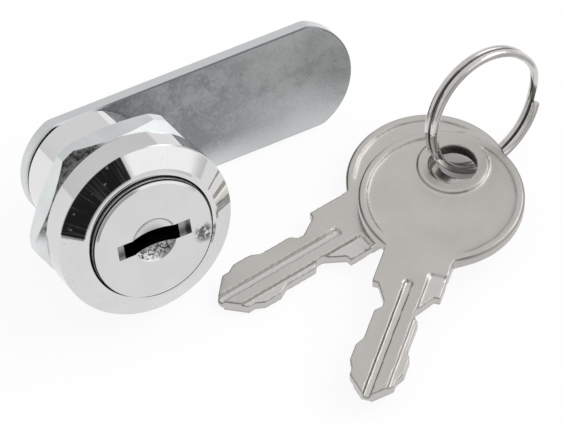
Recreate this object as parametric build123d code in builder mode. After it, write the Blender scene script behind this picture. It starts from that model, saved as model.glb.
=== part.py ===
"""Wafer cam lock with a bezel head, hex nut, flat cam and two keys on a split ring.

Millimetres. The origin is the middle of the seat, the back face of the bezel head. +X runs
along the cam and +Z is up. The lock lies on its nut and its cam, so its axis is tilted.
"""

import os
from math import atan2, cos, pi, radians, sin, sqrt, tan

from build123d import *

os.makedirs("parts", exist_ok=True)

# Head
HEAD_RADIUS = 13.1
HEAD_BAND = 4.25
HEAD_DEPTH = 6.1
LIP_RADIUS = 10.1
COUNTERBORE_RADIUS = 9.3
COUNTERBORE_FLOOR = 4.2
HEAD_BACK_BEVEL = 0.15
HEAD_FRONT_BEVEL = 0.15
LIP_BEVEL = 0.2

# Barrel
BARREL_RADIUS = 9.0
BARREL_LENGTH = 15.2
BARREL_FLATS = 17.0
BARREL_END_CHAMFER = 0.4
GROOVE_RADIUS = 7.9
GROOVE_WIDTH = 6.7
GROOVE_END_WALL = 3.0
STOP_POCKET_RADIUS = 8.3
STOP_POCKET_DEPTH = 1.5
STOP_TRAVEL = 90.0
STOP_CLEARANCE_ANGLE = 0.4

# Plug
PLUG_RADIUS = 7.0
BORE_CLEARANCE = 0.05
PLUG_FACE_DEPTH = 7.2
FLANGE_RADIUS = 9.1
FLANGE_CLEARANCE = 0.05
FACE_EDGE = 0.5
FACE_EDGE_STEP = 0.15
PLUG_SETBACK = 1.3
TAIL_SIDE = 8.0
TAIL_SETBACK = 0.1
SCREW_HOLE_INTO_PLUG = 0.4
KEYWAY_LENGTH = 8.4
KEYWAY_WIDTH = 2.3
KEYWAY_END_WALL = 0.8
RECESS_LENGTH = 11.15
RECESS_DEPTH = 1.2
DIMPLE_RADIUS = 3.35
DIMPLE_DEPTH = 0.9
WARD_WIDTH = 0.8
WARD_HEIGHT = 0.45
WARD_START = 2.2

# Wafers
WAFER_PITCH = 2.2
WAFER_THICKNESS = 1.0
WAFER_WIDTH = 6.4
WAFER_FIT = 0.05
FIRST_WAFER = 0.2
WINDOW_HEIGHT = 2.6
WINDOW_SLACK = 4.3
WINDOW_FIT = 0.05
EAR_HEIGHT = 4.75
EAR_LENGTH = 1.2
EAR_START = -1.0
POCKET_HEIGHT = 5.0
POCKET_FAR = -4.6
POCKET_NEAR = 1.1
POCKET_WIDTH = 1.6
COIL_RADIUS = 0.55
COIL_WIRE = 0.25
COIL_TURNS = 4
COIL_SIDES = 6

# Stop washer, cam, retaining washer and screw
STOP_WASHER_RADIUS = 6.95
STOP_TAB_RADIUS = 8.15
STOP_TAB_HALF_ANGLE = 12.0
SQUARE_FIT = 0.05
CAM_GAP = 0.3
CAM_THICKNESS = 2.2
CAM_HALF_WIDTH = 8.3
CAM_NEAR_BULGE = 0.75
CAM_TIP_BULGE = 0.63
CAM_TIP_CENTRE = 33.2
CAM_CORNER_ROUND = 2.5
CAM_EDGE_BEVEL = 0.2
WASHER_RADIUS = 6.4
WASHER_THICKNESS = 0.8
SCREW_RADIUS = 2.0
SCREW_HOLE_CLEARANCE = 0.1
SCREW_HEAD_RADIUS = 3.6
SCREW_HEAD_HEIGHT = 2.2
SCREW_TIP_GAP = 0.6
CROSS_LENGTH = 4.2
CROSS_WIDTH = 0.9
CROSS_DEPTH = 1.2

# Hex nut
NUT_FLATS = 25.5
NUT_THICKNESS = 4.1
NUT_FRONT = 0.35
NUT_BORE_CLEARANCE = 0.06
NUT_FACE_RADIUS = 12.2
NUT_CORNER_RADIUS = 14.15
NUT_BEVEL_ANGLE = 30.0
NUT_BORE_CHAMFER = 0.35

# Keys
KEY_THICKNESS = 2.0
BOW_RADIUS = 11.7
RIM_RADIUS = 10.5
FIELD_DEPTH = 0.3
KEY_HOLE_OFFSET = 5.7
KEY_HOLE_RADIUS = 3.4
BOSS_RADIUS = 5.0
SHOULDER_HALF = 4.93
SHOULDER_END = 17.2
SHOULDER_STEP_HALF = 4.05
NECK_START = 20.1
NECK_HALF = 2.3
NECK_END = 21.0
CUT_START = 21.9
CUT_HALF = 3.15
CUT_END = 26.9
BIT_START = 28.3
BIT_HALF = 3.88
BIT_END = 31.0
TIP_SHOULDER_START = 32.3
TIP_SHOULDER_HALF = 3.2
TIP_SLOPE_START = 33.4
TIP_HALF = 0.35
KEY_TIP = 36.2
CENTRE_GROOVE_START = 15.6
CENTRE_GROOVE_WIDTH = 1.1
CENTRE_GROOVE_DEPTH = 0.6
SIDE_STEP_START = 13.6
SIDE_STEP_INNER = 2.4
SIDE_STEP_DEPTH = 0.45
BOW_EDGE_BEVEL = 0.3

# Where the keys and the ring lie, by the height above the table
KEY_RISE = 2.2
KEY_RISE_HEADING = 27.3
FRONT_KEY_X = 42.97
FRONT_KEY_Y = -10.67
FRONT_KEY_HEIGHT = 5.65
FRONT_KEY_HEADING = -135.25
BACK_KEY_X = 43.82
BACK_KEY_Y = -5.56
BACK_KEY_HEIGHT = 3.42
BACK_KEY_HEADING = -172.14

# Split ring
RING_X = 53.88
RING_Y = -2.795
RING_HEIGHT = 9.88
RING_NORMAL = (0.1714, -0.9652, 0.1974)
RING_RADIUS = 9.31
RING_WIRE_RADIUS = 0.6
RING_COIL_OFFSET = 0.62
RING_END_ANGLE = 158.0
RING_CROSSING = 50.0
RING_END_GAP = 4.0
RING_WIRE_SIDES = 8

# Worked out from the sizes above
CAM_FRONT = BARREL_LENGTH + CAM_GAP
CAM_BACK = CAM_FRONT + CAM_THICKNESS
CAM_REST = CAM_BACK - CAM_EDGE_BEVEL
NUT_BACK = NUT_FRONT + NUT_THICKNESS
NUT_SLOPE = tan(radians(NUT_BEVEL_ANGLE))
NUT_REST = NUT_BACK - (NUT_FLATS / 2 - NUT_FACE_RADIUS) * NUT_SLOPE
TILT = atan2(NUT_FLATS / 2 - CAM_HALF_WIDTH, CAM_REST - NUT_REST)
TABLE = -(NUT_REST * sin(TILT) + NUT_FLATS / 2 * cos(TILT))
BORE_RADIUS = PLUG_RADIUS + BORE_CLEARANCE
PLUG_LENGTH = BARREL_LENGTH - PLUG_SETBACK
TAIL_END = CAM_BACK - TAIL_SETBACK
SCREW_HOLE_BOTTOM = PLUG_LENGTH - SCREW_HOLE_INTO_PLUG
KEYWAY_END = PLUG_LENGTH - KEYWAY_END_WALL
STOP_POCKET_START = BARREL_LENGTH - STOP_POCKET_DEPTH
CAM_NEAR_RADIUS = CAM_HALF_WIDTH + CAM_NEAR_BULGE
CAM_TIP_RADIUS = CAM_HALF_WIDTH + CAM_TIP_BULGE
WASHER_BACK = CAM_BACK + WASHER_THICKNESS

# The lock's own planes: one through the axis and one across it
through = Plane(origin=(0, 0, 0), x_dir=(1, 0, 0), z_dir=(0, sin(TILT), cos(TILT)))
across = Plane(origin=(0, 0, 0), x_dir=(1, 0, 0), z_dir=(0, cos(TILT), -sin(TILT)))
lock_axis = Axis((0, 0, 0), (0, cos(TILT), -sin(TILT)))


def turned(points):
    """Revolve a closed outline of (radius, depth) points about the lock's axis."""
    with BuildSketch(through) as outline:
        with BuildLine():
            Polyline(*points, close=True)
        make_face()
    revolve(outline.sketch, axis=lock_axis)


def wedge(plane, radius, middle, half_angle):
    """Draw a pie slice about the lock's axis."""
    with BuildSketch(plane) as pie:
        with BuildLine():
            arc = CenterArc((0, 0), radius, middle - half_angle, 2 * half_angle)
            Line((0, 0), arc @ 0)
            Line((0, 0), arc @ 1)
        make_face()
    return pie.sketch


def rings_of(part, radius):
    """Pick the circular edges of a given radius."""
    circles = part.edges().filter_by(GeomType.CIRCLE)
    return circles.filter_by(lambda edge: abs(edge.radius - radius) < 0.001)


# Housing
with BuildPart() as housing:
    turned([
        (BORE_RADIUS, -COUNTERBORE_FLOOR),
        (COUNTERBORE_RADIUS, -COUNTERBORE_FLOOR),
        (COUNTERBORE_RADIUS, -HEAD_DEPTH),
        (LIP_RADIUS, -HEAD_DEPTH),
        (HEAD_RADIUS, -HEAD_BAND),
        (HEAD_RADIUS, 0),
        (BARREL_RADIUS, 0),
        (BARREL_RADIUS, BARREL_LENGTH),
        (BORE_RADIUS, BARREL_LENGTH),
    ])
    chamfer(rings_of(housing, HEAD_RADIUS).sort_by(lock_axis)[0], length=HEAD_FRONT_BEVEL)
    chamfer(rings_of(housing, HEAD_RADIUS).sort_by(lock_axis)[-1], length=HEAD_BACK_BEVEL)
    chamfer(rings_of(housing, LIP_RADIUS), length=LIP_BEVEL)
    chamfer(rings_of(housing, BARREL_RADIUS).sort_by(lock_axis)[-1], length=BARREL_END_CHAMFER)
    with BuildSketch(across):
        with Locations((0, BARREL_FLATS), (0, -BARREL_FLATS)):
            Rectangle(2 * BARREL_RADIUS, BARREL_FLATS)
    extrude(amount=BARREL_LENGTH, mode=Mode.SUBTRACT)
    with BuildSketch(across.offset(-COUNTERBORE_FLOOR)):
        Rectangle(2 * GROOVE_RADIUS, GROOVE_WIDTH)
        Rectangle(GROOVE_WIDTH, 2 * GROOVE_RADIUS)
    extrude(amount=COUNTERBORE_FLOOR + BARREL_LENGTH - GROOVE_END_WALL, mode=Mode.SUBTRACT)
    stop_half_angle = STOP_TRAVEL / 2 + STOP_TAB_HALF_ANGLE + STOP_CLEARANCE_ANGLE
    stop_pocket = wedge(across.offset(STOP_POCKET_START), STOP_POCKET_RADIUS, 180, stop_half_angle)
    extrude(stop_pocket, amount=STOP_POCKET_DEPTH, mode=Mode.SUBTRACT)
housing.part.label = "housing"
export_step(housing.part, "parts/housing.step")

# Where each wafer stands, and which way it is pushed out
wafer_starts = [FIRST_WAFER + WAFER_PITCH * index for index in range(5)]
wafer_sides = [1, -1, 1, -1, 1]
key_halves = [CUT_HALF, CUT_HALF, BIT_HALF, BIT_HALF, BIT_HALF]

# Plug
with BuildPart() as plug:
    turned([
        (0, -PLUG_FACE_DEPTH),
        (FLANGE_RADIUS - FACE_EDGE, -PLUG_FACE_DEPTH),
        (FLANGE_RADIUS - FACE_EDGE_STEP, -PLUG_FACE_DEPTH + FACE_EDGE_STEP),
        (FLANGE_RADIUS, -PLUG_FACE_DEPTH + FACE_EDGE),
        (FLANGE_RADIUS, -COUNTERBORE_FLOOR - FLANGE_CLEARANCE),
        (PLUG_RADIUS, -COUNTERBORE_FLOOR - FLANGE_CLEARANCE),
        (PLUG_RADIUS, PLUG_LENGTH),
        (0, PLUG_LENGTH),
    ])
    with BuildSketch(across.offset(PLUG_LENGTH)):
        Rectangle(TAIL_SIDE, TAIL_SIDE)
    extrude(amount=TAIL_END - PLUG_LENGTH)
    with BuildSketch(across.offset(SCREW_HOLE_BOTTOM)):
        Circle(SCREW_RADIUS + SCREW_HOLE_CLEARANCE)
    extrude(amount=TAIL_END - SCREW_HOLE_BOTTOM, mode=Mode.SUBTRACT)

    # Dished finger mark, shallow shoulder recess and the keyway with its two wards
    dish_radius = (DIMPLE_RADIUS ** 2 + DIMPLE_DEPTH ** 2) / (2 * DIMPLE_DEPTH)
    dish_centre = across.offset(-PLUG_FACE_DEPTH + DIMPLE_DEPTH - dish_radius).origin
    with Locations(dish_centre):
        Sphere(dish_radius, mode=Mode.SUBTRACT)
    with BuildSketch(across.offset(-PLUG_FACE_DEPTH)):
        Rectangle(RECESS_LENGTH, KEYWAY_WIDTH)
    extrude(amount=RECESS_DEPTH, mode=Mode.SUBTRACT)
    with BuildSketch(across.offset(-PLUG_FACE_DEPTH)):
        Rectangle(KEYWAY_LENGTH, KEYWAY_WIDTH)
    extrude(amount=WARD_START, mode=Mode.SUBTRACT)
    with BuildSketch(across.offset(-PLUG_FACE_DEPTH)):
        Rectangle(KEYWAY_LENGTH, KEYWAY_WIDTH)
        ward_middle = KEYWAY_WIDTH / 2 - WARD_HEIGHT / 2
        with Locations((0, ward_middle), (0, -ward_middle)):
            Rectangle(WARD_WIDTH, WARD_HEIGHT, mode=Mode.SUBTRACT)
    extrude(amount=PLUG_FACE_DEPTH + KEYWAY_END, mode=Mode.SUBTRACT)

    # Cross slots for the wafers, each with a pocket for its spring
    for start, side in zip(wafer_starts, wafer_sides):
        with BuildSketch(across.offset(start - WAFER_FIT)):
            Rectangle(2 * BARREL_RADIUS, WAFER_WIDTH + 2 * WAFER_FIT)
        extrude(amount=WAFER_THICKNESS + 2 * WAFER_FIT, mode=Mode.SUBTRACT)
        with BuildSketch(across.offset(start + WAFER_THICKNESS / 2 - POCKET_WIDTH / 2)):
            with Locations((side * (POCKET_FAR + POCKET_NEAR) / 2, -POCKET_HEIGHT / 2)):
                Rectangle(POCKET_NEAR - POCKET_FAR, POCKET_HEIGHT)
        extrude(amount=POCKET_WIDTH, mode=Mode.SUBTRACT)
plug.part.label = "plug"
export_step(plug.part, "parts/plug.step")


def wafer_shape(start, side, key_half):
    """Cut a wafer held level by the key, with its window and its spring ear."""
    with BuildSketch(across.offset(start)) as wafer:
        Circle(PLUG_RADIUS - WAFER_FIT)
        Rectangle(2 * PLUG_RADIUS, WAFER_WIDTH, mode=Mode.INTERSECT)
        with Locations((side * (EAR_START + EAR_LENGTH / 2), -EAR_HEIGHT / 2)):
            Rectangle(EAR_LENGTH, EAR_HEIGHT)
        near_edge = -key_half - WINDOW_FIT
        with Locations((side * (near_edge + WINDOW_SLACK) / 2, 0)):
            Rectangle(WINDOW_SLACK - near_edge, WINDOW_HEIGHT, mode=Mode.SUBTRACT)
    extrude(wafer.sketch, amount=WAFER_THICKNESS)


def coil_spring(start, side):
    """Wind the small spring that pushes a wafer's ear outward."""
    middle = start + WAFER_THICKNESS / 2
    height = (WAFER_WIDTH / 2 + POCKET_HEIGHT) / 2
    far = POCKET_FAR + COIL_WIRE
    near = EAR_START - COIL_WIRE
    steps = COIL_TURNS * COIL_SIDES
    bends = []
    for step in range(steps + 1):
        along = side * (far + (near - far) * step / steps)
        turn = 2 * pi * step / COIL_SIDES
        bend = (along, COIL_RADIUS * cos(turn) - height, COIL_RADIUS * sin(turn) + middle)
        bends.append(across.from_local_coords(bend))
    with BuildLine() as coil:
        Polyline(*bends)
    with BuildSketch(Plane(origin=coil.line @ 0, z_dir=coil.line % 0)) as wire:
        Rectangle(COIL_WIRE, COIL_WIRE)
    sweep(wire.sketch, path=coil.line, transition=Transition.RIGHT)


with BuildPart() as wafer_1:
    wafer_shape(wafer_starts[0], wafer_sides[0], key_halves[0])
wafer_1.part.label = "wafer_1"
export_step(wafer_1.part, "parts/wafer_1.step")

with BuildPart() as wafer_2:
    wafer_shape(wafer_starts[1], wafer_sides[1], key_halves[1])
wafer_2.part.label = "wafer_2"
export_step(wafer_2.part, "parts/wafer_2.step")

with BuildPart() as wafer_3:
    wafer_shape(wafer_starts[2], wafer_sides[2], key_halves[2])
wafer_3.part.label = "wafer_3"
export_step(wafer_3.part, "parts/wafer_3.step")

with BuildPart() as wafer_4:
    wafer_shape(wafer_starts[3], wafer_sides[3], key_halves[3])
wafer_4.part.label = "wafer_4"
export_step(wafer_4.part, "parts/wafer_4.step")

with BuildPart() as wafer_5:
    wafer_shape(wafer_starts[4], wafer_sides[4], key_halves[4])
wafer_5.part.label = "wafer_5"
export_step(wafer_5.part, "parts/wafer_5.step")

with BuildPart() as wafer_spring_1:
    coil_spring(wafer_starts[0], wafer_sides[0])
wafer_spring_1.part.label = "wafer_spring_1"
export_step(wafer_spring_1.part, "parts/wafer_spring_1.step")

with BuildPart() as wafer_spring_2:
    coil_spring(wafer_starts[1], wafer_sides[1])
wafer_spring_2.part.label = "wafer_spring_2"
export_step(wafer_spring_2.part, "parts/wafer_spring_2.step")

with BuildPart() as wafer_spring_3:
    coil_spring(wafer_starts[2], wafer_sides[2])
wafer_spring_3.part.label = "wafer_spring_3"
export_step(wafer_spring_3.part, "parts/wafer_spring_3.step")

with BuildPart() as wafer_spring_4:
    coil_spring(wafer_starts[3], wafer_sides[3])
wafer_spring_4.part.label = "wafer_spring_4"
export_step(wafer_spring_4.part, "parts/wafer_spring_4.step")

with BuildPart() as wafer_spring_5:
    coil_spring(wafer_starts[4], wafer_sides[4])
wafer_spring_5.part.label = "wafer_spring_5"
export_step(wafer_spring_5.part, "parts/wafer_spring_5.step")

# Stop washer, whose tab sits at one end of the pocket in the barrel
with BuildPart() as stop_washer:
    with BuildSketch(across.offset(PLUG_LENGTH)):
        Circle(STOP_WASHER_RADIUS)
    extrude(amount=CAM_FRONT - PLUG_LENGTH)
    rest_angle = 180 + STOP_TRAVEL / 2
    tab = wedge(across.offset(PLUG_LENGTH), STOP_TAB_RADIUS, rest_angle, STOP_TAB_HALF_ANGLE)
    extrude(tab, amount=CAM_FRONT - PLUG_LENGTH)
    with BuildSketch(across.offset(PLUG_LENGTH)):
        Rectangle(TAIL_SIDE + 2 * SQUARE_FIT, TAIL_SIDE + 2 * SQUARE_FIT)
    extrude(amount=CAM_FRONT - PLUG_LENGTH, mode=Mode.SUBTRACT)
stop_washer.part.label = "stop_washer"
export_step(stop_washer.part, "parts/stop_washer.step")

# Cam, a straight bar with two blunt round ends
near_corner = -sqrt(CAM_NEAR_RADIUS ** 2 - CAM_HALF_WIDTH ** 2)
tip_corner = CAM_TIP_CENTRE + sqrt(CAM_TIP_RADIUS ** 2 - CAM_HALF_WIDTH ** 2)
with BuildPart() as cam:
    with BuildSketch(across.offset(CAM_FRONT)) as cam_outline:
        with BuildLine():
            Line((near_corner, CAM_HALF_WIDTH), (tip_corner, CAM_HALF_WIDTH))
            ThreePointArc(
                (tip_corner, CAM_HALF_WIDTH),
                (CAM_TIP_CENTRE + CAM_TIP_RADIUS, 0),
                (tip_corner, -CAM_HALF_WIDTH),
            )
            Line((tip_corner, -CAM_HALF_WIDTH), (near_corner, -CAM_HALF_WIDTH))
            ThreePointArc(
                (near_corner, -CAM_HALF_WIDTH),
                (-CAM_NEAR_RADIUS, 0),
                (near_corner, CAM_HALF_WIDTH),
            )
        make_face()
        fillet(cam_outline.vertices(), radius=CAM_CORNER_ROUND)
    extrude(amount=CAM_THICKNESS)
    faces_across = cam.faces().filter_by(lock_axis)
    chamfer(faces_across.edges(), length=CAM_EDGE_BEVEL)
    with BuildSketch(across.offset(CAM_FRONT)):
        Rectangle(TAIL_SIDE + 2 * SQUARE_FIT, TAIL_SIDE + 2 * SQUARE_FIT)
    extrude(amount=CAM_THICKNESS, mode=Mode.SUBTRACT)
cam.part.label = "cam"
export_step(cam.part, "parts/cam.step")

# Retaining washer
with BuildPart() as cam_washer:
    with BuildSketch(across.offset(CAM_BACK)):
        Circle(WASHER_RADIUS)
        Circle(SCREW_RADIUS + SCREW_HOLE_CLEARANCE, mode=Mode.SUBTRACT)
    extrude(amount=WASHER_THICKNESS)
cam_washer.part.label = "cam_washer"
export_step(cam_washer.part, "parts/cam_washer.step")

# Cam screw with a domed head and a cross recess
with BuildPart() as cam_screw:
    screw_tip = SCREW_HOLE_BOTTOM + SCREW_TIP_GAP
    with BuildSketch(across.offset(screw_tip)):
        Circle(SCREW_RADIUS)
    extrude(amount=WASHER_BACK - screw_tip)
    with BuildSketch(across.offset(WASHER_BACK)):
        Circle(SCREW_HEAD_RADIUS)
    extrude(amount=SCREW_HEAD_HEIGHT)
    head_rims = rings_of(cam_screw, SCREW_HEAD_RADIUS).sort_by(lock_axis)
    chamfer(head_rims[-1], length=SCREW_HEAD_HEIGHT / 3)
    with BuildSketch(across.offset(WASHER_BACK + SCREW_HEAD_HEIGHT - CROSS_DEPTH)):
        Rectangle(CROSS_LENGTH, CROSS_WIDTH)
        Rectangle(CROSS_WIDTH, CROSS_LENGTH)
    extrude(amount=CROSS_DEPTH, mode=Mode.SUBTRACT)
cam_screw.part.label = "cam_screw"
export_step(cam_screw.part, "parts/cam_screw.step")

# Hex nut with bevelled corners, standing off the seat
nut_bore = BARREL_RADIUS + NUT_BORE_CLEARANCE
corner_drop = (NUT_CORNER_RADIUS - NUT_FACE_RADIUS) * NUT_SLOPE
with BuildPart() as hex_nut:
    with BuildSketch(across.offset(NUT_FRONT)):
        RegularPolygon(NUT_FLATS / sqrt(3), 6)
        Circle(nut_bore, mode=Mode.SUBTRACT)
    extrude(amount=NUT_THICKNESS)
    with BuildSketch(through):
        with BuildLine():
            Polyline(
                (0, NUT_FRONT),
                (NUT_FACE_RADIUS, NUT_FRONT),
                (NUT_CORNER_RADIUS, NUT_FRONT + corner_drop),
                (NUT_CORNER_RADIUS, NUT_BACK - corner_drop),
                (NUT_FACE_RADIUS, NUT_BACK),
                (0, NUT_BACK),
                close=True,
            )
        make_face()
    revolve(axis=lock_axis, mode=Mode.INTERSECT)
    chamfer(rings_of(hex_nut, nut_bore), length=NUT_BORE_CHAMFER)
hex_nut.part.label = "hex_nut"
export_step(hex_nut.part, "parts/hex_nut.step")


def key_frame(x, y, height, heading):
    """Give the plane of a key's top face, its x along the blade toward the tip."""
    rise = radians(KEY_RISE)
    rise_heading = radians(KEY_RISE_HEADING)
    normal = Vector(-sin(rise) * cos(rise_heading), -sin(rise) * sin(rise_heading), cos(rise))
    level = Vector(cos(radians(heading)), sin(radians(heading)), 0)
    blade = level - normal * level.dot(normal)
    return Plane(origin=(x, y, TABLE + height), x_dir=blade, z_dir=normal)


def key_side(face):
    """Sink the field, the centre groove and the side step into one face of a key."""
    with BuildSketch(face) as field:
        Circle(RIM_RADIUS)
        with Locations((-KEY_HOLE_OFFSET, 0)):
            Circle(BOSS_RADIUS, mode=Mode.SUBTRACT)
    extrude(field.sketch, amount=-FIELD_DEPTH, mode=Mode.SUBTRACT)
    with BuildSketch(face) as groove:
        with Locations(((CENTRE_GROOVE_START + KEY_TIP) / 2 + 1, 0)):
            Rectangle(KEY_TIP - CENTRE_GROOVE_START + 2, CENTRE_GROOVE_WIDTH)
    extrude(groove.sketch, amount=-CENTRE_GROOVE_DEPTH, mode=Mode.SUBTRACT)
    step_width = SHOULDER_HALF - SIDE_STEP_INNER
    step_middle = SIDE_STEP_INNER + step_width / 2
    with BuildSketch(face) as side_step:
        with Locations(((SIDE_STEP_START + KEY_TIP) / 2 + 1, step_middle)):
            Rectangle(KEY_TIP - SIDE_STEP_START + 2, step_width)
    extrude(side_step.sketch, amount=-SIDE_STEP_DEPTH, mode=Mode.SUBTRACT)


def key_shape(key, top):
    """Build a whole key in the open part, under the given top plane."""
    with BuildSketch(top) as blank:
        with BuildLine():
            Polyline(
                (0, SHOULDER_HALF),
                (SHOULDER_END, SHOULDER_HALF),
                (SHOULDER_END, SHOULDER_STEP_HALF),
                (NECK_START, NECK_HALF),
                (NECK_END, NECK_HALF),
                (CUT_START, CUT_HALF),
                (CUT_END, CUT_HALF),
                (BIT_START, BIT_HALF),
                (BIT_END, BIT_HALF),
                (TIP_SHOULDER_START, TIP_SHOULDER_HALF),
                (TIP_SLOPE_START, TIP_SHOULDER_HALF),
                (KEY_TIP, TIP_HALF),
                (KEY_TIP, 0),
                (0, 0),
                close=True,
            )
        make_face()
        mirror(about=Plane.XZ)
        Circle(BOW_RADIUS)
    extrude(blank.sketch, amount=-KEY_THICKNESS)
    chamfer(rings_of(key, BOW_RADIUS), length=BOW_EDGE_BEVEL)
    with BuildSketch(top) as hole:
        with Locations((-KEY_HOLE_OFFSET, 0)):
            Circle(KEY_HOLE_RADIUS)
    extrude(hole.sketch, amount=-KEY_THICKNESS, mode=Mode.SUBTRACT)
    under = Plane(origin=top.offset(-KEY_THICKNESS).origin, x_dir=top.x_dir, z_dir=-top.z_dir)
    key_side(top)
    key_side(under)


front_key_top = key_frame(FRONT_KEY_X, FRONT_KEY_Y, FRONT_KEY_HEIGHT, FRONT_KEY_HEADING)
back_key_top = key_frame(BACK_KEY_X, BACK_KEY_Y, BACK_KEY_HEIGHT, BACK_KEY_HEADING)

# Front key
with BuildPart() as key_front:
    key_shape(key_front, front_key_top)
key_front.part.label = "key_front"
export_step(key_front.part, "parts/key_front.step")

# Back key
with BuildPart() as key_back:
    key_shape(key_back, back_key_top)
key_back.part.label = "key_back"
export_step(key_back.part, "parts/key_back.step")

# Split ring: two flat coils of one wire that cross over near its ends
ring_normal = Vector(*RING_NORMAL).normalized()
ring_side = ring_normal.cross(Vector(0, 0, 1)).normalized()
ring_plane = Plane(origin=(RING_X, RING_Y, TABLE + RING_HEIGHT), x_dir=ring_side, z_dir=ring_normal)


def ring_point(angle, offset):
    """Give a point of the ring's wire in the frame of the object."""
    x = RING_RADIUS * cos(radians(angle))
    y = RING_RADIUS * sin(radians(angle))
    return ring_plane.from_local_coords((x, y, offset))


def ring_coil(begin, end, offset):
    """Lay one coil of the wire between two angles."""
    middle = (begin + end) / 2
    points = [ring_point(angle, offset) for angle in (begin, middle, end)]
    return ThreePointArc(*points)


crossing_start = RING_END_ANGLE - 360 + RING_CROSSING
crossing_end = RING_END_ANGLE - 360
far_end = crossing_start - 360 + RING_END_GAP
with BuildPart() as split_ring:
    with BuildLine() as ring_path:
        first_coil = ring_coil(RING_END_ANGLE, crossing_start, RING_COIL_OFFSET)
        second_coil = ring_coil(crossing_end, far_end, -RING_COIL_OFFSET)
        add([first_coil, second_coil])
        Spline(
            first_coil @ 1,
            ring_point((crossing_start + crossing_end) / 2, 0),
            second_coil @ 0,
            tangents=(first_coil % 1, second_coil % 0),
        )
    with BuildSketch(Plane(origin=first_coil @ 0, z_dir=first_coil % 0)):
        RegularPolygon(RING_WIRE_RADIUS, RING_WIRE_SIDES)
    sweep(path=ring_path.line)
split_ring.part.label = "split_ring"
export_step(split_ring.part, "parts/split_ring.step")
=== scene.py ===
"""Wafer cam lock, two keys and a split ring, lit for a pale studio picture."""

from math import cos, degrees, radians, sin

import bmesh
import bpy
from mathutils import Matrix, Vector


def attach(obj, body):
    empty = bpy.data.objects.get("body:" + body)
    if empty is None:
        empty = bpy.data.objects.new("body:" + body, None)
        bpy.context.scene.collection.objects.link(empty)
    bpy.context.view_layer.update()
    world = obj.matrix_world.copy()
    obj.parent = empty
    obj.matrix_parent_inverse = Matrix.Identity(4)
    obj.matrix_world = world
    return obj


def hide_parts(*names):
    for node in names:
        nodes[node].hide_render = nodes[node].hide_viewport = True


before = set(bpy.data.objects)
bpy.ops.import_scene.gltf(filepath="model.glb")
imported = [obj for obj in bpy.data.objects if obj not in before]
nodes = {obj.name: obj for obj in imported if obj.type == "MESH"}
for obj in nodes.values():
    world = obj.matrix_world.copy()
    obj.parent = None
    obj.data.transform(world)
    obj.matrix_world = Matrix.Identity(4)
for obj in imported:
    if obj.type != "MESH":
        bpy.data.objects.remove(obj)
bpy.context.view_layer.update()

MM = 1000.0

# Places in metres
TABLE = -0.01340255
EYE = (-0.242246, -0.495408, 0.668284)
LAMP = (0.50, -0.04, 0.42)
LAMP_AIM = (0.02, 0.0, 0.0)
UNDER_KEYS = (0.0485, -0.0035, TABLE)
RING_CENTRE = (0.05388, -0.002795, TABLE + 0.00988)
RING_NORMAL = (0.1714, -0.9652, 0.1974)

# The lock's own frame: along the cam, rearward along the lock's axis, and up
TILT = radians(18.4124)
LOCK_ORIGIN = (0, 0, 0)
LOCK_AXES = ((1, 0, 0), (0, cos(TILT), -sin(TILT)), (0, sin(TILT), cos(TILT)))
ROOM_AXES = ((1, 0, 0), (0, 1, 0), (0, 0, 1))

# Sizes that the solids have too, in mm and degrees; the slope is rise over run
NUT_FRONT = 0.35
NUT_FACE_RADIUS = 12.2
NUT_SLOPE = 0.577
KEY_THICKNESS = 2.0
KEY_HOLE_OFFSET = 5.7
KEY_RISE = 2.2
KEY_RISE_HEADING = 27.3
FRONT_KEY = {"x": 42.97, "y": -10.67, "height": 5.65, "heading": -135.25}
BACK_KEY = {"x": 43.82, "y": -5.56, "height": 3.42, "heading": -172.14}

# A mask's soft edge is a pair: where it starts and where it is done. Its levels there are another.
RISE = (0.0, 1.0)
FALL = (1.0, 0.0)
WHOLE = (0.0, 1.0)
CLOUDS = (0.35, 0.65)

# Heights of bump, in metres
PLATE_RELIEF = 0.00002
KEY_RELIEF = 0.001


# Shader helpers

def new_metal(name):
    """Make an empty metal and give it with its tree and its shader."""
    material = bpy.data.materials.new(name)
    material.use_nodes = True
    tree = material.node_tree
    tree.nodes.clear()
    output = tree.nodes.new("ShaderNodeOutputMaterial")
    shader = tree.nodes.new("ShaderNodeBsdfPrincipled")
    shader.inputs["Metallic"].default_value = 1.0
    tree.links.new(shader.outputs[0], output.inputs[0])
    return material, tree, shader


def feed(tree, socket, value):
    """Set a socket to a number, a colour or another node's output."""
    if isinstance(value, bpy.types.NodeSocket):
        tree.links.new(value, socket)
    else:
        socket.default_value = value


def maths(tree, operation, first, second=0.0):
    """Add one step of arithmetic."""
    step = tree.nodes.new("ShaderNodeMath")
    step.operation = operation
    feed(tree, step.inputs[0], first)
    feed(tree, step.inputs[1], second)
    return step.outputs[0]


def vector_maths(tree, operation, first, second=(0, 0, 0)):
    """Add one step of vector arithmetic."""
    step = tree.nodes.new("ShaderNodeVectorMath")
    step.operation = operation
    feed(tree, step.inputs[0], first)
    feed(tree, step.inputs[1], second)
    return step.outputs["Value" if operation in ("DOT_PRODUCT", "DISTANCE") else "Vector"]


def total(tree, *terms):
    """Add up pairs of a value and its weight."""
    parts = [maths(tree, "MULTIPLY", value, weight) for value, weight in terms]
    result = parts[0]
    for part in parts[1:]:
        result = maths(tree, "ADD", result, part)
    return result


def both(tree, *masks):
    """Give 1 only where every mask is 1."""
    result = masks[0]
    for mask in masks[1:]:
        result = maths(tree, "MULTIPLY", result, mask)
    return result


def either(tree, first, second):
    """Give the larger of two masks."""
    return maths(tree, "MAXIMUM", first, second)


def gap(tree, value, middle):
    """Give how far a value is from a middle one."""
    return maths(tree, "ABSOLUTE", maths(tree, "SUBTRACT", value, middle))


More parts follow.
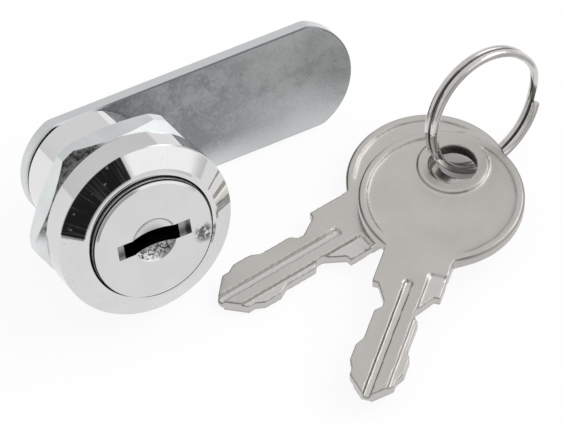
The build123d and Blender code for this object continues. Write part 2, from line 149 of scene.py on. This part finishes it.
def ramp(tree, value, edge, levels=RISE):
    """Turn the range of a soft edge smoothly into another range, held at its ends."""
    step = tree.nodes.new("ShaderNodeMapRange")
    step.interpolation_type = "SMOOTHSTEP"
    feed(tree, step.inputs["Value"], value)
    for name, number in zip(("From Min", "From Max", "To Min", "To Max"), (*edge, *levels)):
        step.inputs[name].default_value = number
    return step.outputs[0]


def arc(*angles):
    """Turn degrees into radians."""
    return tuple(radians(angle) for angle in angles)


def blend_colour(tree, amount, first, second):
    """Mix two colours, each three numbers, one number for a grey, or a node's output."""
    step = tree.nodes.new("ShaderNodeMix")
    step.data_type = "RGBA"
    feed(tree, step.inputs[0], amount)
    for socket, colour in zip(step.inputs[6:8], (first, second)):
        if isinstance(colour, float):
            colour = (colour, colour, colour)
        feed(tree, socket, (*colour, 1) if isinstance(colour, tuple) else colour)
    return step.outputs[2]


def coordinates(tree, kind="Object"):
    """Give the object's own coordinates, or another kind of them."""
    return tree.nodes.new("ShaderNodeTexCoord").outputs[kind]


def grain(tree, scale, detail, rough, where=None):
    """Add a noise pattern."""
    noise = tree.nodes.new("ShaderNodeTexNoise")
    if where is None:
        where = coordinates(tree)
    tree.links.new(where, noise.inputs["Vector"])
    noise.inputs["Scale"].default_value = scale
    noise.inputs["Detail"].default_value = detail
    noise.inputs["Roughness"].default_value = rough
    return noise.outputs[0]


def rays(tree, angle, radius, count, stretch):
    """Add a noise pattern that runs along the radius."""
    join = tree.nodes.new("ShaderNodeCombineXYZ")
    feed(tree, join.inputs[0], maths(tree, "MULTIPLY", angle, count))
    feed(tree, join.inputs[1], maths(tree, "MULTIPLY", radius, stretch))
    return grain(tree, scale=1.0, detail=2.0, rough=0.5, where=join.outputs[0])


def relief(tree, shader, height, depth, strength):
    """Feed a height pattern to the shader's normal."""
    bump = tree.nodes.new("ShaderNodeBump")
    bump.inputs["Strength"].default_value = strength
    bump.inputs["Distance"].default_value = depth
    feed(tree, bump.inputs["Height"], height)
    tree.links.new(bump.outputs[0], shader.inputs["Normal"])


def along(tree, origin, axes):
    """Give the millimetres from a point along each of the directions."""
    away = vector_maths(tree, "SUBTRACT", coordinates(tree), origin)
    return [vector_maths(tree, "DOT_PRODUCT", away, Vector(axis) * MM) for axis in axes]


def span(tree, first, second):
    """Give the length of the vector with these two parts."""
    squares = total(tree, (first, first), (second, second))
    return maths(tree, "SQRT", squares)


def lock_spot(tree):
    """Give a point's x, depth and height on the lock, its radius and its angle round the axis."""
    x, depth, z = along(tree, LOCK_ORIGIN, LOCK_AXES)
    return x, depth, z, span(tree, x, z), maths(tree, "ARCTAN2", z, x)


def facing(tree, axis):
    """Give 1 where the surface is square to an axis, down to 0 where it runs along it."""
    normal = coordinates(tree, "Normal")
    return maths(tree, "ABSOLUTE", vector_maths(tree, "DOT_PRODUCT", normal, axis))


# Materials of the lock

def metal(name, bright, dull, gloss, scale, wave, overlay=None):
    """Make a plated metal whose colour, gloss and surface vary a little from place to place."""
    material, tree, shader = new_metal(name)
    broad = ramp(tree, grain(tree, scale, detail=4.0, rough=0.6), CLOUDS)
    fine = grain(tree, scale * 9, detail=3.0, rough=0.6)
    colour = blend_colour(tree, broad, dull, bright)
    if overlay:
        colour = overlay(tree, colour)
    feed(tree, shader.inputs["Base Color"], colour)
    uneven = total(tree, (broad, 0.5), (fine, 0.5))
    feed(tree, shader.inputs["Roughness"], ramp(tree, uneven, (0.2, 0.8), gloss))
    relief(tree, shader, fine, PLATE_RELIEF, wave)
    return material


def chrome(name, tone):
    """Start a polished and slightly cloudy chrome, with its waves, for a piece of the lock."""
    material, tree, shader = new_metal(name)
    broad = ramp(tree, grain(tree, scale=130, detail=4.0, rough=0.6), CLOUDS)
    waves = grain(tree, scale=420, detail=3.0, rough=0.6)
    colour = blend_colour(tree, broad, tone * 0.96, (tone, tone * 1.005, tone * 0.995))
    return material, tree, shader, broad, colour, waves


def head_chrome():
    """Chrome of the bezel head and barrel: rays, dust, painted dark reflections on the bevel as
    smears and a sector, a barrel painted lighter, and painted shade inside the bores.
    """
    material, tree, shader, broad, colour, waves = chrome("bezel_chrome", tone=0.68)
    relief(tree, shader, waves, PLATE_RELIEF, strength=0.03)
    _, depth, _, radius, angle = lock_spot(tree)

    bevel_inner, bevel_rear = (10.0, 10.3), (-4.3, -4.15)
    bevel = both(tree, ramp(tree, radius, bevel_inner), ramp(tree, depth, bevel_rear, FALL))
    dust = grain(tree, scale=3400, detail=2.0, rough=0.5)
    dust = both(tree, bevel, ramp(tree, dust, (0.68, 0.73)))
    lines = rays(tree, angle, radius, count=46, stretch=0.3)
    lines = both(tree, bevel, ramp(tree, lines, (0.60, 0.70)))

    # Painted dark reflections on the bevel, as smears: the middle and the half width of each in
    # degrees, and its strength
    painted_reflections = 0.0
    for middle, half, strength in (
        (21.5, 1.2, 0.75), (12.0, 2.6, 0.8), (5.5, 3.2, 0.35), (-1.5, 2.4, 0.75),
    ):
        away = gap(tree, angle, radians(middle))
        painted_reflection = ramp(tree, away, arc(half * 0.4, half), (strength, 0.0))
        painted_reflections = either(tree, painted_reflections, painted_reflection)
    broken = rays(tree, angle, radius, count=60, stretch=0.4)
    painted_reflections = both(tree, bevel, painted_reflections, ramp(tree, broken, (0.3, 0.5), (0.4, 1.0)))

    # Painted dark reflection: a sector of the bevel between these angles, lightened by streaks and
    # specks
    sector_start, sector_end = arc(97.0, 97.8), arc(159.2, 160.0)
    painted_dark_sector = both(tree, bevel, ramp(tree, angle, sector_start),
                  ramp(tree, angle, sector_end, FALL))
    streaks = rays(tree, angle, radius, count=30, stretch=0.15)
    streaks = ramp(tree, streaks, (0.50, 0.78), (0.035, 0.16))
    specks = grain(tree, scale=1500, detail=2.0, rough=0.5)
    specks = both(tree, bevel, ramp(tree, specks, (0.68, 0.72), (0, 0.35)))

    # Painted shade, near black, inside the counterbore round the plug and inside the bore, fading
    # out towards the barrel's end
    counterbore_wall, counterbore_floor = (9.34, 9.42), (-1.7, -1.4)
    bore_wall, bore_mouth = (8.1, 8.3), (12.5, 15.0)
    inside_painted_shade = either(
        tree,
        both(tree, ramp(tree, radius, counterbore_wall, FALL),
             ramp(tree, depth, counterbore_floor, FALL)),
        both(tree, ramp(tree, radius, bore_wall, FALL), ramp(tree, depth, bore_mouth, FALL)),
    )
    # Painted light: the barrel is painted a lighter chrome than the head
    barrel = ramp(tree, depth, (-0.05, 0.1))

    for amount, coat in (
        (barrel, (0.755, 0.76, 0.755)),
        (maths(tree, "MULTIPLY", dust, 0.45), 0.30),
        (painted_reflections, (0.10, 0.095, 0.09)),
        (painted_dark_sector, either(tree, streaks, specks)),
        (inside_painted_shade, (0.012, 0.012, 0.013)),
    ):
        colour = blend_colour(tree, amount, colour, coat)
    feed(tree, shader.inputs["Base Color"], colour)
    gloss = ramp(tree, broad, WHOLE, (0.03, 0.06))
    gloss = total(tree, (gloss, 1.0), (lines, 0.10), (dust, 0.45), (inside_painted_shade, 0.4))
    feed(tree, shader.inputs["Roughness"], gloss)
    return material


def plug_chrome():
    """Chrome of the plug: pitted finger dimple with painted shade along its upper brim, painted
    shade on the slot ends' floors, in the keyway and round the rim, a scuff, and a painted
    highlight on the side wall.
    """
    material, tree, shader, broad, colour, waves = chrome("plug_chrome", tone=0.665)
    x, depth, z, radius, _ = lock_spot(tree)

    sunk_from, sunk_within, slot_end = (-7.15, -7.05), (6.2, 6.4), (-6.9, -6.2)
    sunk = both(tree, ramp(tree, depth, sunk_from), ramp(tree, radius, sunk_within, FALL))
    # Painted shade on the floors of the slot's ends
    slot_floor_painted_shade = both(tree, sunk, ramp(tree, depth, slot_end))
    coarse = both(tree, sunk, grain(tree, scale=1700, detail=4.0, rough=0.7))
    height = total(tree, (waves, 1.0), (coarse, 500.0))
    relief(tree, shader, height, PLATE_RELIEF, strength=0.03)

    # Painted shade: the keyway is painted near black, and so is a thin line round the plug's rim,
    # wider at the lower right
    keyway_from, tail_from = (-5.95, -5.7), (15.4, 15.8)
    hollow_painted_shade = both(tree, ramp(tree, depth, keyway_from), ramp(tree, depth, tail_from, FALL))
    rim_radius, rim_widening, rim_depth = 8.97, 0.22, (-6.72, -6.66)
    lower_right = ramp(tree, maths(tree, "SUBTRACT", x, z), (2.0, 9.0))
    rim_start = maths(tree, "SUBTRACT", rim_radius,
                      maths(tree, "MULTIPLY", lower_right, rim_widening))
    past_start = maths(tree, "SUBTRACT", radius, rim_start)
    rim = both(tree, ramp(tree, past_start, (0, 0.03)), ramp(tree, depth, rim_depth, FALL))
    dark = either(tree, hollow_painted_shade, rim)
    # Painted highlight: the plug's side wall behind the rim is painted light
    wall_radius, wall_depth = (9.02, 9.07), (-6.68, -6.62)
    side_wall_painted_highlight = both(tree, ramp(tree, radius, wall_radius), ramp(tree, depth, wall_depth))

    scuff_x, scuff_z, scuff_radius = 7.3, -1.9, (0.7, 1.9)
    from_scuff = span(tree, maths(tree, "SUBTRACT", x, scuff_x),
                      maths(tree, "SUBTRACT", z, scuff_z))
    scuff = ramp(tree, grain(tree, scale=1100, detail=4.0, rough=0.7), (0.42, 0.50))
    scuff = both(tree, ramp(tree, from_scuff, scuff_radius, FALL), scuff)
    pits_top, pits_thinning = (-1.4, -1.0), (-3.6, -1.8)
    pits = ramp(tree, grain(tree, scale=2600, detail=3.0, rough=0.6), (0.47, 0.52))
    pits = both(tree, sunk, ramp(tree, z, pits_top, FALL),
                ramp(tree, z, pits_thinning, (0.25, 1.0)), pits)
    # Painted shade: a dark arc along the dimple's upper brim
    brim_inner, brim_outer, brim_low = (3.08, 3.2), (3.34, 3.42), (0.4, 1.2)
    brim_painted_shade = both(tree, ramp(tree, radius, brim_inner), ramp(tree, radius, brim_outer, (0.6, 0)),
                ramp(tree, z, brim_low))

    for amount, coat in (
        (either(tree, pits, brim_painted_shade), 0.04),
        (maths(tree, "MULTIPLY", scuff, 0.9), 0.09),
        (side_wall_painted_highlight, (0.85, 0.85, 0.84)),
        (maths(tree, "MULTIPLY", slot_floor_painted_shade, 0.75), 0.20),
        (dark, 0.010),
    ):
        colour = blend_colour(tree, amount, colour, coat)
    feed(tree, shader.inputs["Base Color"], colour)
    gloss = ramp(tree, broad, WHOLE, (0.07, 0.12))
    gloss = total(tree, (gloss, 1.0), (sunk, 0.10), (scuff, 0.15), (side_wall_painted_highlight, 0.30), (dark, 0.4))
    feed(tree, shader.inputs["Roughness"], gloss)
    return material


def nut_painted_reflection(tree, colour):
    """Paint a dark, mottled reflection on the nut's chamfer, on the side where the bevel's painted
    reflection is dark.
    """
    _, depth, _, radius, angle = lock_spot(tree)
    cone = maths(tree, "MULTIPLY", maths(tree, "SUBTRACT", radius, NUT_FACE_RADIUS), NUT_SLOPE)
    off = gap(tree, maths(tree, "SUBTRACT", depth, NUT_FRONT), cone)
    chamfer_near, chamfer_from = (0.06, 0.12), (12.25, 12.35)
    chamfer = both(tree, ramp(tree, off, chamfer_near, FALL), ramp(tree, radius, chamfer_from))
    side_start, side_end = arc(96, 104), arc(165, 179)
    side = both(tree, ramp(tree, angle, side_start), ramp(tree, angle, side_end, FALL))
    mottle = grain(tree, scale=900, detail=4.0, rough=0.7)
    mottle = ramp(tree, mottle, (0.38, 0.62), (0.06, 0.42))
    return blend_colour(tree, both(tree, chamfer, side), colour, mottle)


def cam_zinc():
    """Clear zinc plate on the cam: mottled face, painted light at its tip and low side, painted
    highlights on its edges and painted shade in the creases beside them.
    """
    material, tree, shader = new_metal("cam_zinc")
    x, _, z = along(tree, LOCK_ORIGIN, LOCK_AXES)
    turned = facing(tree, LOCK_AXES[1])
    spangle = grain(tree, scale=420, detail=5.0, rough=0.65)
    cloud = grain(tree, scale=110, detail=2.0, rough=0.5)
    speck = grain(tree, scale=1800, detail=3.0, rough=0.7)

    mottle = total(tree, (spangle, 0.35), (cloud, 0.3), (speck, 0.35))
    mottle = ramp(tree, mottle, (0.41, 0.59))
    colour = blend_colour(tree, mottle, (0.20, 0.215, 0.22), (0.34, 0.355, 0.36))
    tip_x, low_z, low_x, near_x = (16.0, 34.0), (-8.0, -3.6), (18.0, 30.0), (1.0, 6.0)
    side_turn, near_turn, face_turn = (0.10, 0.30), (0.85, 0.97), (0.93, 0.99)
    # Painted light at the tip and along the low side, painted shade in the creases where the face
    # turns to the sides, and painted highlights on the sides and near the barrel
    tip_painted_light = ramp(tree, x, tip_x, (0.07, 0.55))
    low_side_painted_light = both(tree, ramp(tree, z, low_z, FALL), ramp(tree, x, low_x, (1.0, 0.55)))
    crease_painted_shade = both(tree, ramp(tree, turned, side_turn), ramp(tree, turned, face_turn, FALL))
    near_end = both(tree, ramp(tree, x, near_x, FALL), ramp(tree, turned, near_turn, FALL))
    painted_edges = either(tree, ramp(tree, turned, side_turn, FALL), near_end)
    for amount, coat in (
        (tip_painted_light, (0.60, 0.62, 0.63)),
        (low_side_painted_light, (0.62, 0.64, 0.65)),
        (crease_painted_shade, (0.16, 0.17, 0.175)),
        (painted_edges, (0.66, 0.68, 0.69)),
    ):
        colour = blend_colour(tree, amount, colour, coat)
    feed(tree, shader.inputs["Base Color"], colour)
    feed(tree, shader.inputs["Roughness"], ramp(tree, spangle, (0.3, 0.7), (0.24, 0.36)))
    height = total(tree, (spangle, 1.0), (speck, 1.0))
    relief(tree, shader, height, PLATE_RELIEF, strength=0.4)
    return material


# Materials of the keys and ring

def key_nickel(name, origin, blade, normal):
    """Satin nickel of a key: soft field with coining rays, raised ring, and painted shade on its
    edges and on the grooves' walls.
    """
    material, tree, shader = new_metal(name)
    u, v, w = along(tree, origin, (blade, normal.cross(blade), normal))
    radius = span(tree, u, v)
    angle = maths(tree, "ARCTAN2", v, u)
    from_hole = span(tree, maths(tree, "ADD", u, KEY_HOLE_OFFSET), v)
    turned = facing(tree, normal)
    fine = grain(tree, scale=1500, detail=2.0, rough=0.5)

    rim_radius, boss_radius = (9.3, 10.6), (5.0, 5.8)
    band_inner, band_outer = (9.3, 9.8), (10.6, 11.0)
    rim = ramp(tree, radius, rim_radius)
    band = both(tree, ramp(tree, radius, band_inner), ramp(tree, radius, band_outer, FALL))
    marks = both(tree, band, rays(tree, angle, radius, count=34, stretch=0.25))
    boss = ramp(tree, from_hole, boss_radius, FALL)
    height = total(tree, (rim, 0.06), (boss, 0.04), (marks, 0.03), (fine, 0.0002))
    relief(tree, shader, height, KEY_RELIEF, strength=1.0)

    broad = ramp(tree, grain(tree, scale=160, detail=3.0, rough=0.5), (0.3, 0.7))
    colour = blend_colour(tree, broad, (0.565, 0.545, 0.52), (0.605, 0.585, 0.56))
    grooves_from, groove_top, groove_under = (13.0, 13.8), (-0.40, -0.25), (-1.6, -1.5)
    groove = both(tree, ramp(tree, u, grooves_from), ramp(tree, w, groove_top, FALL),
                  ramp(tree, w, groove_under))
    colour = blend_colour(tree, maths(tree, "MULTIPLY", groove, 0.6), colour, (0.72, 0.70, 0.68))

    # Painted shade: whatever isn't square to the face is painted dark, less so at the starts of
    # the top's grooves
    centre_half, centre_fade = (1.2, 1.6), (15.6, 18.5)
    side_inner, side_fade = (1.7, 2.1), (14.2, 15.2)
    starts_from, starts_top, easing = (12.4, 12.9), (-0.6, -0.5), 0.8
    centre_start = both(tree, ramp(tree, maths(tree, "ABSOLUTE", v), centre_half, FALL),
                        ramp(tree, u, centre_fade, FALL))
    side_start = both(tree, ramp(tree, v, side_inner), ramp(tree, u, side_fade, FALL))
    starts = both(tree, either(tree, centre_start, side_start), ramp(tree, u, starts_from),
                  ramp(tree, w, starts_top), easing)
    side_turn, face_turn = (0.10, 0.35), (0.86, 0.98)
    painted_edges = both(tree, ramp(tree, turned, side_turn, (0.45, 1.0)),
                 ramp(tree, turned, face_turn, (0.62, 0)), maths(tree, "SUBTRACT", 1.0, starts))
    colour = blend_colour(tree, painted_edges, colour, (0.16, 0.15, 0.14))
    feed(tree, shader.inputs["Base Color"], colour)
    feed(tree, shader.inputs["Roughness"], ramp(tree, fine, (0.3, 0.7), (0.27, 0.31)))
    return material


def ring_wire_nickel():
    """Bright nickel of the ring's wire, with painted shade between its coils, at its sides and
    where it passes the keys.
    """
    material, tree, shader = new_metal("ring_nickel")
    x, _, z = along(tree, UNDER_KEYS, ROOM_AXES)
    # Painted shade where the wire passes under the keys
    shade_under_keys_radius, height_share = (2.4, 4.6), 0.5
    from_keys = span(tree, x, maths(tree, "MULTIPLY", z, height_share))
    shade_under_keys = ramp(tree, from_keys, shade_under_keys_radius, (0.95, 0.0))
    offset, = along(tree, RING_CENTRE, (Vector(RING_NORMAL).normalized(),))
    offset = maths(tree, "ABSOLUTE", offset)
    # Painted shade between the coils and at the wire's outer sides
    between_coils, outer_sides = (0.10, 0.34), (1.0, 1.22)
    crevice_painted_shade = either(tree, ramp(tree, offset, between_coils, (0.92, 0.0)),
                     ramp(tree, offset, outer_sides, (0.0, 0.55)))
    broad = ramp(tree, grain(tree, scale=300, detail=4.0, rough=0.6), CLOUDS)
    colour = blend_colour(tree, broad, (0.60, 0.58, 0.56), (0.72, 0.70, 0.68))
    colour = blend_colour(tree, crevice_painted_shade, colour, (0.05, 0.048, 0.045))
    colour = blend_colour(tree, shade_under_keys, colour, (0.07, 0.065, 0.06))
    feed(tree, shader.inputs["Base Color"], colour)
    fine = grain(tree, scale=2500, detail=3.0, rough=0.6)
    feed(tree, shader.inputs["Roughness"], ramp(tree, fine, (0.3, 0.7), (0.04, 0.10)))
    return material


def dress(material, *names):
    """Give CAD nodes a material."""
    for name in names:
        mesh = nodes[name].data
        mesh.materials.clear()
        mesh.materials.append(material)


# Shapes of the keys and ring

def key_place(x, y, height, heading):
    """Give a key's origin on its top face, its blade's direction and its face's normal."""
    rise, toward = radians(KEY_RISE), radians(KEY_RISE_HEADING)
    normal = Vector((-sin(rise) * cos(toward), -sin(rise) * sin(toward), cos(rise)))
    level = Vector((cos(radians(heading)), sin(radians(heading)), 0))
    blade = (level - normal * level.dot(normal)).normalized()
    return Vector((x / MM, y / MM, TABLE + height / MM)), blade, normal


def ease(share):
    """Turn 0 to 1 into a smooth step."""
    share = min(max(share, 0.0), 1.0)
    return share * share * (3 - 2 * share)


def melt(mesh, origin, blade, normal):
    """Ease the steps of a key's coined field, of the ring round its hole and of its grooves' ends.

    Toward the blade, where the CAD has a round step, the field rises to the faces. The mesh and
    all sizes here are in mm, along the blade, across it and up from the top face.
    """
    across = normal.cross(blade)
    top, middle, under = 0.0, -KEY_THICKNESS / 2, -KEY_THICKNESS
    core_low, core_high = -1.45, -0.55
    fill_from, fill_length, fill_end = 5.0, 4.3, 11.2
    fill_half, fill_fade = 6.8, 2.8
    wall_inner, wall_outer, wall_end = 9.4, 11.1, 9.5
    ring_inner, ring_outer = 4.6, 5.5
    centre_start, side_start, reach = 15.9, 13.9, 0.6
    centre_half, side_inner = 0.9, 2.1
    soft_rounds, firm_rounds = 14, 3
    shape = bmesh.new()
    shape.from_mesh(mesh)
    soft, firm = [], []
    for vertex in shape.verts:
        away = vertex.co - origin * MM
        u, v, w = away.dot(blade), away.dot(across), away.dot(normal)
        fill = ease((u - fill_from) / fill_length) * ease((fill_half - abs(v)) / fill_fade)
        if fill > 0 and u < fill_end and not core_low < w < core_high:
            level = top if w > middle else under
            vertex.co += normal * (level - w) * fill
        field_wall = wall_inner < Vector((u, v)).length < wall_outer and u < wall_end
        centre_end = abs(u - centre_start) < reach and abs(v) < centre_half
        side_end = abs(u - side_start) < reach and v > side_inner
        if field_wall or centre_end or side_end:
            soft.append(vertex)
        if ring_inner < Vector((u + KEY_HOLE_OFFSET, v)).length < ring_outer:
            firm.append(vertex)
    for rounds, verts in ((soft_rounds, soft), (firm_rounds, firm)):
        for _ in range(rounds):
            bmesh.ops.smooth_vert(shape, verts=verts, factor=0.5,
                                  use_axis_x=True, use_axis_y=True, use_axis_z=True)
    shape.to_mesh(mesh)
    shape.free()


def softened(node, name, body, material, voxel, rounds, key=None):
    """Stand in for a CAD node with the same shape on small round edges, as a coined piece has.

    The voxel is in mm. A key also gives its place, because its coined field is eased.
    """
    mesh = nodes[node].data.copy()
    mesh.transform(Matrix.Scale(MM, 4))
    piece = bpy.data.objects.new(name, mesh)
    bpy.context.scene.collection.objects.link(piece)
    skin = piece.modifiers.new("even_skin", "REMESH")
    skin.mode = "VOXEL"
    skin.voxel_size = voxel
    smooth = piece.modifiers.new("round_edges", "SMOOTH")
    smooth.factor = 0.5
    smooth.iterations = rounds
    ready = piece.evaluated_get(bpy.context.evaluated_depsgraph_get())
    final = bpy.data.meshes.new_from_object(ready)
    piece.modifiers.clear()
    if key:
        melt(final, *key)
    final.transform(Matrix.Scale(1 / MM, 4))
    final.shade_smooth()
    final.materials.clear()
    final.materials.append(material)
    piece.data = final
    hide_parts(node)
    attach(piece, body)
    return piece


# Floor, room, lamp and camera

def floor():
    """Lay a wide pale floor that keeps a faint shadow, and is dimmer under the keys' holes."""
    half_side, paper_tone, white = 6.0, (0.93, 0.93, 0.93, 1), (1, 1, 1, 1)
    dim_radius, glow_shares = (0.0032, 0.0065), (0.08, 0.90)
    mesh = bpy.data.meshes.new("floor")
    shape = bmesh.new()
    bmesh.ops.create_grid(shape, x_segments=1, y_segments=1, size=half_side)
    shape.to_mesh(mesh)
    shape.free()
    plane = bpy.data.objects.new("floor", mesh)
    plane.location = (0, 0, TABLE)
    bpy.context.scene.collection.objects.link(plane)

    material = bpy.data.materials.new("pale_floor")
    material.use_nodes = True
    tree = material.node_tree
    tree.nodes.clear()
    output = tree.nodes.new("ShaderNodeOutputMaterial")
    paper = tree.nodes.new("ShaderNodeBsdfDiffuse")
    paper.inputs["Color"].default_value = paper_tone
    glow = tree.nodes.new("ShaderNodeEmission")
    glow.inputs["Color"].default_value = white
    glow.inputs["Strength"].default_value = 1.0
    path = tree.nodes.new("ShaderNodeLightPath")
    seen = either(tree, path.outputs["Is Camera Ray"], path.outputs["Is Glossy Ray"])
    place = tree.nodes.new("ShaderNodeNewGeometry").outputs["Position"]
    away = vector_maths(tree, "DISTANCE", place, UNDER_KEYS)
    share = both(tree, seen, ramp(tree, away, dim_radius, glow_shares))
    mix = tree.nodes.new("ShaderNodeMixShader")
    for source, socket in zip((share, paper.outputs[0], glow.outputs[0]), mix.inputs):
        tree.links.new(source, socket)
    tree.links.new(mix.outputs[0], output.inputs[0])
    mesh.materials.append(material)


def room():
    """Surround the object with a white room.

    It has a mild dark strip and a mild bright strip where the bezel's bevel mirrors it, and a soft
    glow round the lamp, which mirror rays don't see. A strip lies where the direction half-way
    between a ray and the photograph's viewpoint leans as the bevel does, between two angles round
    the lock's axis. All angles are in degrees.
    """
    bevel_lean = 31.7
    dark_lean, dark_start, dark_end = (4.0, 16.0), (92.0, 98.0), (158.0, 172.0)
    light_lean, light_start, light_end = (5.0, 22.0), (26.0, 50.0), (94.0, 104.0)
    light_rise, horizon_rise, horizon_levels = (-0.02, 0.22), (0.0, 0.30), (0.95, 1.0)
    glow_start, glow_full, glow_levels = 28, 10, (0.0, 1.7)
    world = bpy.data.worlds.new("studio")
    bpy.context.scene.world = world
    world.use_nodes = True
    tree = world.node_tree
    tree.nodes.clear()
    output = tree.nodes.new("ShaderNodeOutputWorld")
    background = tree.nodes.new("ShaderNodeBackground")
    ray = coordinates(tree, "Generated")
    rise = tree.nodes.new("ShaderNodeSeparateXYZ")
    tree.links.new(ray, rise.inputs[0])
    rise = rise.outputs["Z"]

    halfway = vector_maths(tree, "ADD", ray, Vector(EYE).normalized())
    halfway = vector_maths(tree, "NORMALIZE", halfway)
    x, depth, z = (vector_maths(tree, "DOT_PRODUCT", halfway, axis) for axis in LOCK_AXES)
    around = maths(tree, "MULTIPLY", maths(tree, "ARCTAN2", z, x), degrees(1))
    lean = maths(tree, "ARCCOSINE", maths(tree, "MULTIPLY", depth, -1.0))
    off = gap(tree, maths(tree, "MULTIPLY", lean, degrees(1)), bevel_lean)
    dark = both(tree, ramp(tree, off, dark_lean, FALL), ramp(tree, around, dark_start),
                ramp(tree, around, dark_end, FALL))
    light = both(tree, ramp(tree, off, light_lean, FALL), ramp(tree, around, light_start),
                 ramp(tree, around, light_end, FALL), ramp(tree, rise, light_rise))

    toward = vector_maths(tree, "DOT_PRODUCT", ray, Vector(LAMP).normalized())
    glow_edge = (cos(radians(glow_start)), cos(radians(glow_full)))
    glow = ramp(tree, toward, glow_edge, glow_levels)
    level = ramp(tree, rise, horizon_rise, horizon_levels)
    level = total(tree, (level, 1.0), (dark, -0.6), (light, 0.60), (glow, 1.0))
    path = tree.nodes.new("ShaderNodeLightPath")
    level = either(tree, level, path.outputs["Is Camera Ray"])
    tree.links.new(level, background.inputs["Strength"])
    tree.links.new(background.outputs[0], output.inputs[0])


def soft_lamp(name, place, size, power):
    """Hang a square lamp that looks at the object and that mirrors don't show."""
    lamp = bpy.data.lights.new(name, "AREA")
    lamp.shape = "SQUARE"
    lamp.size = size
    lamp.energy = power
    holder = bpy.data.objects.new(name, lamp)
    holder.location = place
    toward = Vector(LAMP_AIM) - Vector(place)
    holder.rotation_euler = toward.to_track_quat("-Z", "Y").to_euler()
    holder.visible_glossy = False
    bpy.context.scene.collection.objects.link(holder)


def camera():
    """Put the camera where the photograph was taken."""
    data = bpy.data.cameras.new("camera")
    data.sensor_fit = "HORIZONTAL"
    data.sensor_width = 36.0
    data.lens = 402.35
    data.clip_start = 0.05
    data.clip_end = 50.0
    eye = bpy.data.objects.new("camera", data)
    right = Vector((0.88510, -0.46536, 0.00652))
    up = Vector((0.35512, 0.68434, 0.63684))
    back = Vector((-0.30082, -0.56136, 0.77096))
    turn = Matrix((right, up, back)).transposed().to_4x4()
    eye.matrix_world = Matrix.Translation(EYE) @ turn
    bpy.context.scene.collection.objects.link(eye)
    bpy.context.scene.camera = eye


# The lock's own pieces stay where the CAD has them, and get their materials
dress(head_chrome(), "housing")
dress(plug_chrome(), "plug")
dress(cam_zinc(), "cam")
# The nut's chamfer carries a painted dark reflection on one side
dress(metal("nut_zinc", bright=(0.73, 0.75, 0.755), dull=(0.63, 0.655, 0.66),
            gloss=(0.10, 0.22), scale=160, wave=0.25, overlay=nut_painted_reflection), "hex_nut")
dress(metal("fixing_zinc", bright=(0.58, 0.60, 0.61), dull=(0.45, 0.47, 0.48),
            gloss=(0.18, 0.32), scale=300, wave=0.10), "stop_washer", "cam_washer", "cam_screw")
wafer_brass = metal("wafer_brass", bright=(0.22, 0.17, 0.09), dull=(0.16, 0.12, 0.06),
                    gloss=(0.35, 0.5), scale=300, wave=0.1)
spring_wire = metal("spring_wire", bright=(0.50, 0.50, 0.51), dull=(0.40, 0.40, 0.41),
                    gloss=(0.2, 0.35), scale=400, wave=0.05)
for index in range(1, 6):
    dress(wafer_brass, f"wafer_{index}")
    dress(spring_wire, f"wafer_spring_{index}")

# Keys and ring
for side, key in (("front", key_place(**FRONT_KEY)), ("back", key_place(**BACK_KEY))):
    key_piece = softened(
        f"key_{side}", f"{side}_key_metal", f"{side}_key",
        key_nickel(f"{side}_key_nickel", *key), voxel=0.15, rounds=4, key=key,
    )
    # The back key isn't seen in mirror rays
    key_piece.visible_glossy = side == "front"
softened("split_ring", "ring_wire", "key_ring", ring_wire_nickel(),
         voxel=0.1, rounds=6)

floor()
room()
soft_lamp("key_lamp", LAMP, size=0.5, power=1.15)
camera()

scene = bpy.context.scene
scene.view_settings.view_transform = "Standard"
